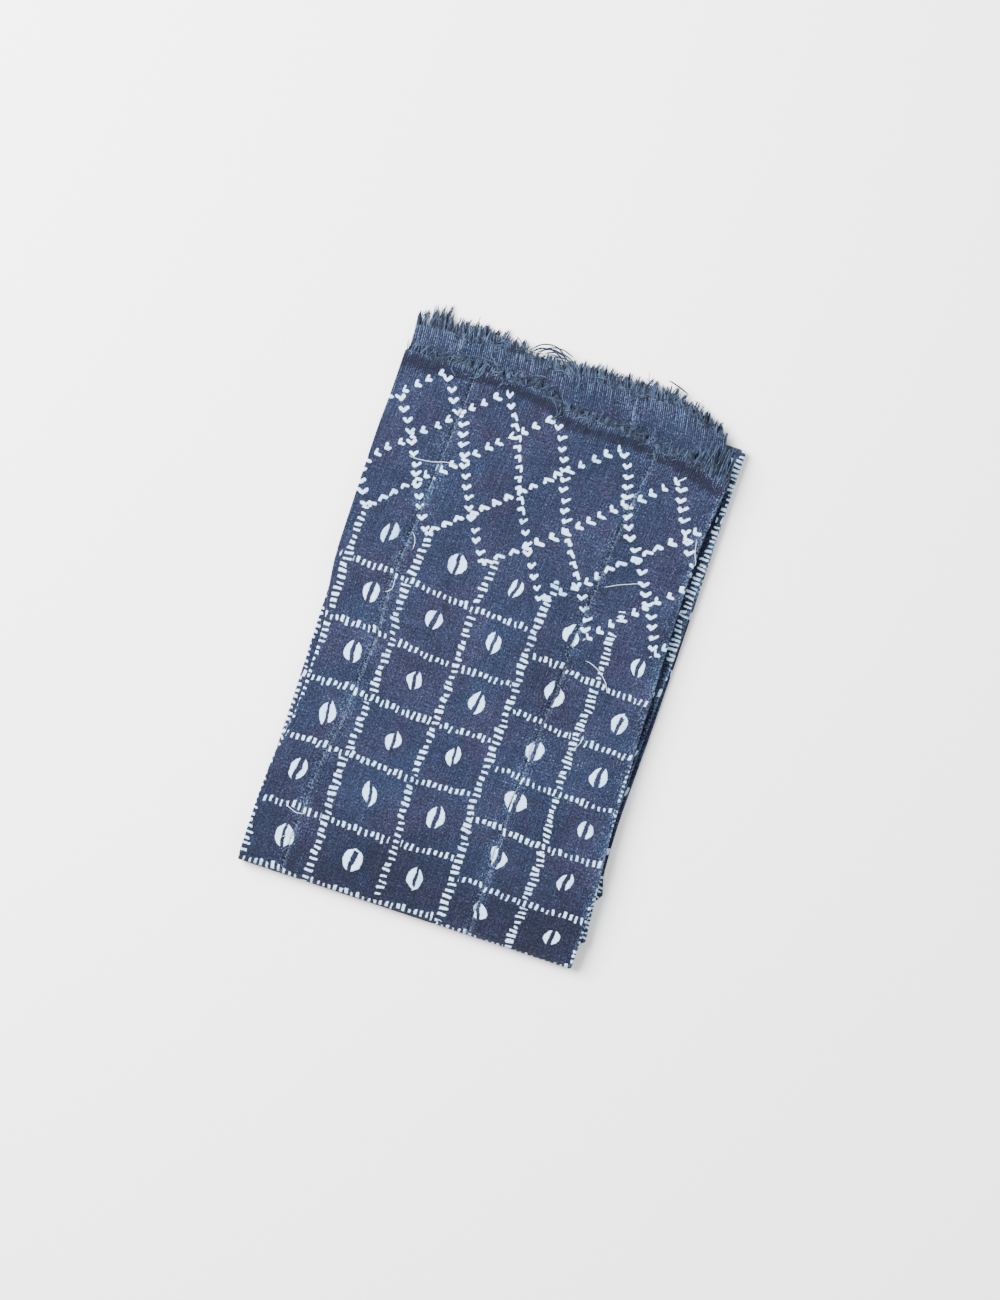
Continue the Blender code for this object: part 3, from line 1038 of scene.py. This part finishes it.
def seam_stitches(material):
    """Whip stitches of indigo yarn that draw the strips' edges together."""
    chance = Random(11)
    runs = []
    for seam in SEAMS:
        along = SEWN_FROM
        while along < TOTAL - SEWN_FROM:
            reach = chance.uniform(*STITCH_REACH) * MM
            slant = chance.uniform(-0.4, 1.8) * MM
            share = np.linspace(-1, 1, 6)
            proud = 0.5 * THICK + 0.36 * MM - 0.46 * MM * share**4
            middle = seam + chance.gauss(0, 0.5) * MM
            points = folded(along + slant * share, middle + reach * share, proud)
            runs.append((points, chance.uniform(*STITCH_RADIUS) * MM * (1 - 0.7 * share**4)))
            along += chance.choice(STITCH_STEPS) * MM
    return spin_threads("seam_stitches", runs, material)


def fringe(name, upper, seen, seed, material):
    """The raw warp ends, as loose yarns that gather into uneven tufts."""
    chance = Random(seed)
    tips = smooth(UPPER_TIPS if upper else LOWER_TIPS)
    edges = smooth(UPPER_EDGE if upper else LOWER_EDGE)
    runs = []
    across = LEFT_SIDE + SIDE_MARGIN
    while across < RIGHT_SIDE - SIDE_MARGIN:
        width = min(chance.choice(TUFTS) * MM, RIGHT_SIDE - across)
        edge = float(raw_edge(upper, across))
        x = float(folded(edge, across, 0.0)[0]) + CENTRE[0]
        tall = (float(read(tips, x)) - float(read(edges, x))) * chance.uniform(0.72, 1.04)
        lean = chance.gauss(0.6, 1.9) * MM
        gather = chance.uniform(0.25, 0.85)
        hidden = not seen[0] < across < seen[1]
        for _ in range(max(2, round(width / YARN_PITCH[hidden] / MM))):
            root = across + width * chance.random()
            share = np.linspace(0, 1, 7)
            inward = (across + 0.5 * width - root) * (1 - gather)
            sway = (inward + lean) * share**1.6 + chance.gauss(0, 0.3) * MM * np.sin(share * 5)
            sway += chance.gauss(0, 0.45) * MM * share**2
            lift = chance.uniform(-0.35, 0.45) * MM + chance.uniform(-0.5, 0.9) * MM * share**1.5
            reach = (tall * chance.uniform(0.8, 1.0) + ROOT) * share - ROOT
            points = folded(edge + (-reach if upper else reach), root + sway, lift)
            runs.append((points, chance.uniform(*YARN_RADIUS) * MM * (1 - 0.85 * share**4)))
        across += width
    return spin_threads(name, runs, material)


def frayed_rows(upper, seen, count, inward, outward, seed):
    """Short curling ends of weft along a raw end, as rows for stray_threads."""
    chance = Random(seed)
    rows = []
    for _ in range(count):
        across = chance.uniform(*seen)
        out = chance.triangular(-inward, outward, 0.0) * MM
        edge = float(raw_edge(upper, across))
        along = edge + (-out if upper else out)
        heading = 90 + chance.choice((0, 180)) + chance.gauss(0, 32)
        length = chance.choice((3, 5, 6, 8, 14))
        curl = chance.gauss(0, 110)
        rows.append((along / MM, across / MM, heading, length, curl, chance.uniform(0.2, 0.34)))
    return rows


def stray_threads(name, table, seed, material):
    """Loose ends and pulled weft, from rows as in the tables below."""
    chance = Random(seed)
    runs = []
    for along, across, heading, length, curl, radius in table:
        place = np.array([along, across]) * MM
        turn = radians(heading)
        flat = [place]
        steps = max(8, int(length / 1.5))
        for _ in range(steps):
            turn += radians(curl) / steps + chance.gauss(0, 1.3 / steps)
            place = place + length * MM / steps * np.array([np.cos(turn), np.sin(turn)])
            flat.append(place)
        flat = np.array(flat)
        share = np.linspace(0, 1, len(flat))
        proud = 0.5 * THICK + (0.25 + 0.35 * np.sin(share * pi)) * MM
        points = folded(flat[:, 0], flat[:, 1], proud)
        runs.append((points, radius * MM * (1 - 0.85 * (2 * share - 1) ** 8)))
    return spin_threads(name, runs, material)


# Pulled threads on the top panel, and loose ends at both raw ends: along,
# across, heading, length, curl and radius.  Sizes are in millimetres, from the
# upper raw end and from the second seam, and turns in degrees.  Heading 0 runs
# down the cloth
PALE_STRAYS = [
    (182, 172, 195, 30, 60, 0.2),
    (214, 168, 10, 16, -70, 0.18),
    (60, 190, 4, 26, 10, 0.22),
    (66, -22, 80, 34, 35, 0.2),
    (128, 6, 170, 14, 60, 0.18),
    (150, 2, 20, 14, -90, 0.18),
    (112, 142, 130, 30, -30, 0.16),
    (322, -12, 20, 18, 80, 0.2),
    (338, -6, 60, 12, -120, 0.18),
]
BLUE_STRAYS = [
    (-9, 24, 88, 26, 8, 0.34),
    (-14, -8, 100, 22, -30, 0.32),
    (-10, -28, 60, 18, 50, 0.34),
    (0, 62, 84, 16, -150, 0.36),
    (-12, 66, 170, 24, 120, 0.34),
    (-13, 70, 165, 26, 110, 0.32),
    (4, 130, 92, 34, 6, 0.34),
    (3, 96, 86, 30, 12, 0.36),
    (-2, 48, 95, 22, -20, 0.3),
    (9, 176, 60, 12, 140, 0.36),
    (8, 188, 110, 14, -150, 0.36),
    (1499, 361, -30, 36, -120, 0.56),
    (1499, 359, -35, 34, -110, 0.54),
    (1500, 357, -40, 32, -100, 0.5),
    (1500, 355, -44, 30, -92, 0.56),
    (1501, 352, -50, 28, -84, 0.5),
    (1501, 349, -56, 26, -76, 0.54),
    (1501, 346, -60, 24, -70, 0.5),
    (1500, 343, -64, 22, -62, 0.54),
    (1499, 340, -68, 20, -56, 0.5),
    (1510, 254, -112, 18, -34, 0.56),
    (1496, 266, -20, 14, 90, 0.38),
    (1488, 410, -4, 26, -10, 0.34),
]

# The stretches of the raw ends that show, across the flat cloth
PANEL = (-34 * MM, 214 * MM)
FLAP = (216 * MM, RIGHT_SIDE)


def lay_out_pieces():
    """Makes every piece of the cloth and says what it stands for."""
    weave = indigo_weave()
    warp = yarn("steel_blue_warp", tint(14, 19, 34), tint(60, 78, 105), deep=1.8)
    sewing = yarn("faded_sewing_yarn", tint(27, 38, 65), tint(84, 109, 141))
    pale = yarn("undyed_yarn", tint(150, 172, 196), tint(214, 224, 228))
    strips = [
        ("left_flap_strip", "strip_left_flap", LEFT_SIDE, FIRST_SEAM),
        ("left_fold_strip", "strip_left_fold", FIRST_SEAM, SECOND_SEAM),
        ("middle_strip", "strip_middle", SECOND_SEAM, THIRD_SEAM),
        ("right_fold_strip", "strip_right_fold", THIRD_SEAM, FOURTH_SEAM),
        ("right_flap_strip", "strip_right_flap", FOURTH_SEAM, RIGHT_SIDE),
    ]
    for number, (name, node, first, last) in enumerate(strips):
        sheet = weave_strip(name, number, first, last)
        sheet.data.materials.append(weave)
        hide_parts(node)
        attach(sheet, "root")
    upper = fringe("upper_fringe", True, PANEL, 3, warp)
    lower = fringe("lower_fringe", False, (LEFT_SIDE, RIGHT_SIDE), 8, warp)
    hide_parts("fringe_upper")
    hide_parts("fringe_lower")
    extras = [
        upper,
        lower,
        seam_stitches(sewing),
        stray_threads("pulled_pale_threads", PALE_STRAYS, 21, pale),
        stray_threads("frayed_weft_threads", BLUE_STRAYS, 22, warp),
        stray_threads("frayed_upper_edge", frayed_rows(True, PANEL, 240, 4, 7, 5), 23, warp),
        stray_threads("frayed_lower_edge", frayed_rows(False, FLAP, 150, 3, 5, 6), 24, warp),
    ]
    for piece in extras:
        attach(piece, "root")


# The photograph's view: how far the camera is above the top panel, that
# panel's height, what height of the floor it sees, about which point, and how
# far it is turned; and the lights, each with its place as the camera sees it:
# name, rightward, upward, height, size, power
CAMERA_AWAY = 2.6
PANEL_HEIGHT = 0.012
SENSOR = 36.0
SEEN_HEIGHT = 0.910
SEEN_MIDDLE = (0.0042, -0.0098)
CAMERA_TURN = 17.9
LIGHTS = [
    ("key_light", -1.3, 1.0, 1.6, 1.7, 320.0),
    ("fill_light", 1.4, 0.2, 2.2, 1.8, 35.0),
]
ROOM_LIGHT = 0.72
FLOOR_HALF = 3.0


def studio():
    """A pale floor, soft light from the upper left, and the view from above."""
    floor = bpy.data.meshes.new("floor")
    bm = bmesh.new()
    bmesh.ops.create_grid(bm, x_segments=1, y_segments=1, size=FLOOR_HALF)
    bm.to_mesh(floor)
    bm.free()
    floor = bpy.data.objects.new("floor", floor)
    bpy.context.scene.collection.objects.link(floor)
    paper = bpy.data.materials.new("pale_floor")
    paper.use_nodes = True
    shader = paper.node_tree.nodes["Principled BSDF"]
    shader.inputs["Base Color"].default_value = (0.93, 0.93, 0.935, 1.0)
    shader.inputs["Roughness"].default_value = 0.9
    floor.data.materials.append(paper)

    turn = radians(CAMERA_TURN)
    middle = Vector((*SEEN_MIDDLE, 0.0))
    rightward = Vector((np.cos(turn), np.sin(turn), 0.0))
    upward = Vector((-np.sin(turn), np.cos(turn), 0.0))
    camera = bpy.data.cameras.new("view_from_above")
    camera.sensor_fit = "VERTICAL"
    camera.sensor_height = SENSOR
    camera.lens = SENSOR * CAMERA_AWAY / SEEN_HEIGHT
    eye = bpy.data.objects.new("view_from_above", camera)
    eye.location = middle + Vector((0, 0, CAMERA_AWAY + PANEL_HEIGHT))
    eye.rotation_euler = (0.0, 0.0, turn)
    bpy.context.scene.collection.objects.link(eye)
    bpy.context.scene.camera = eye

    for name, right, up, height, size, power in LIGHTS:
        light = bpy.data.lights.new(name, "AREA")
        light.size = size
        light.energy = power
        lamp = bpy.data.objects.new(name, light)
        lamp.location = middle + right * rightward + up * upward + Vector((0, 0, height))
        aim = middle - lamp.location
        lamp.rotation_euler = aim.to_track_quat("-Z", "Y").to_euler()
        bpy.context.scene.collection.objects.link(lamp)
    world = bpy.data.worlds.new("soft_room")
    world.use_nodes = True
    backdrop = world.node_tree.nodes["Background"]
    backdrop.inputs["Color"].default_value = (1.0, 1.0, 1.0, 1.0)
    backdrop.inputs["Strength"].default_value = ROOM_LIGHT
    bpy.context.scene.world = world


lay_out_pieces()
studio()
